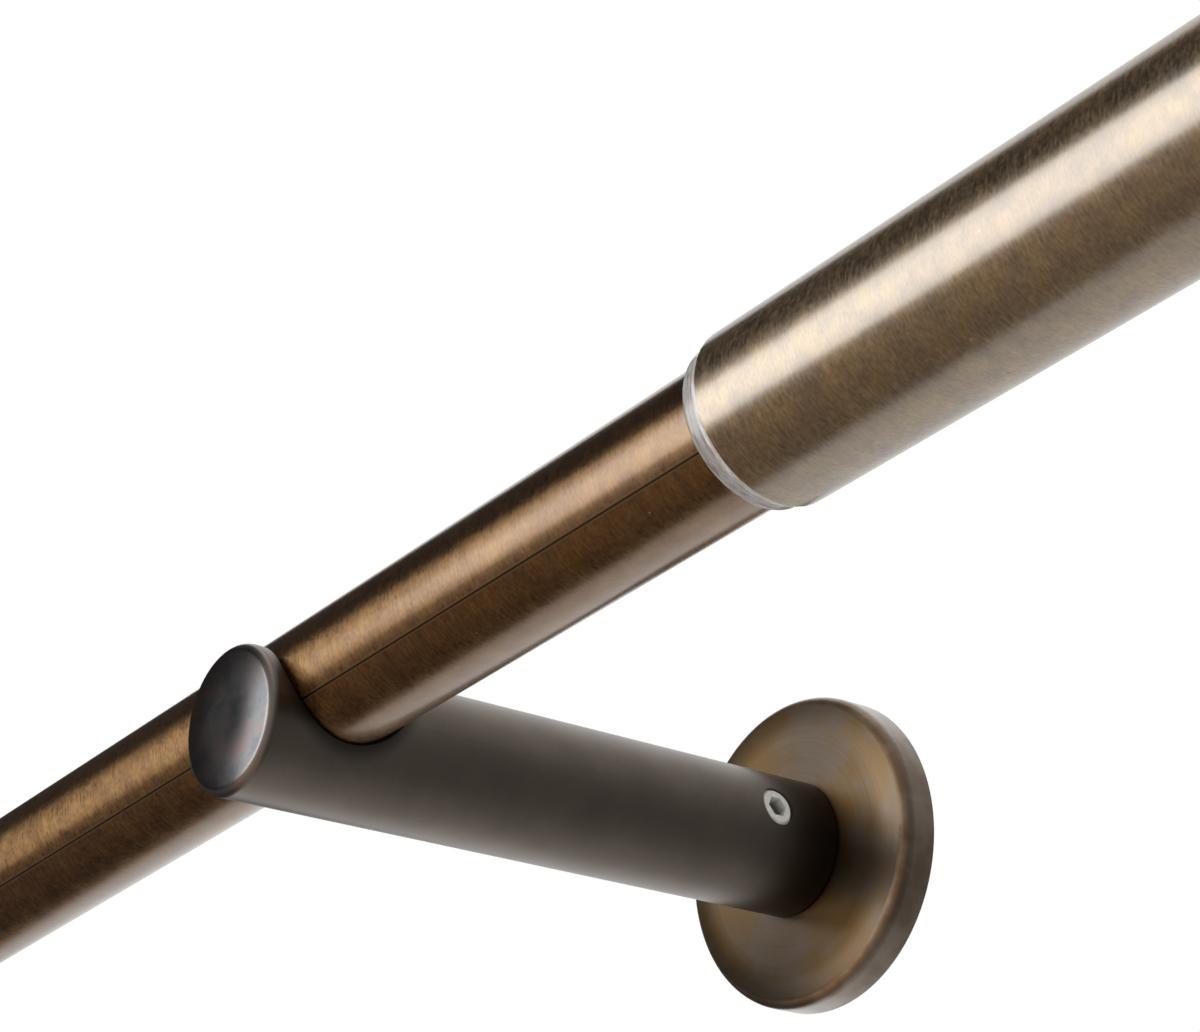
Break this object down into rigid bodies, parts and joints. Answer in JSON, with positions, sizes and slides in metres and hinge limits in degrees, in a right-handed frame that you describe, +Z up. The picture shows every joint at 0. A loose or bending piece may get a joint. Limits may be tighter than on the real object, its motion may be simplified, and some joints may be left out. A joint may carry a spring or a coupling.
{
  "type": "extendable curtain rod",
  "caption": "Round telescopic rod for hanging a curtain: a thinner tube slides inside a thicker one, and each lies in the open saddle of a wall bracket with a round cover plate.",
  "frame": {"origin": "centre of the left bracket's wall face, on the wall plane", "axes": "+X along the rod from the thinner tube to the thicker one, +Y into the wall, +Z up, the way the saddles open"},
  "size_m": [0.8401, 0.0933, 0.0406],
  "materials": {
    "inner_bronze": "brushed and antiqued bronze plating, clear lacquer",
    "outer_bronze": "brushed bronze plating, clear lacquer",
    "arm_bronze": "satin black bronze plating",
    "rosette_bronze": "turned and antiqued bronze plating",
    "cap_bronze": "turned and antiqued bronze plating",
    "plated_steel": "zinc plating",
    "screw_steel": "bright steel",
    "clear_nylon": "milky translucent moulding",
    "plug_nylon": "natural moulding"
  },
  "bodies": {
    "inner_section": {"inner_tube": "inner_bronze", "guide_plug": "plug_nylon", "inner_end_cap": "cap_bronze", "left_bracket_arm": "arm_bronze", "left_rosette": "rosette_bronze", "left_wall_plate": "plated_steel", "left_grub_screw": "screw_steel"},
    "outer_section": {"outer_tube": "outer_bronze", "mouth_bush": "clear_nylon", "outer_end_cap": "cap_bronze", "right_bracket_arm": "arm_bronze", "right_rosette": "rosette_bronze", "right_wall_plate": "plated_steel", "right_grub_screw": "screw_steel"}
  },
  "joints": [
    {"name": "rod_extension", "type": "slide", "parent": "inner_section", "child": "outer_section", "axis": [1, 0, 0], "range_m": [-0.065, 0.366]}
  ]
}
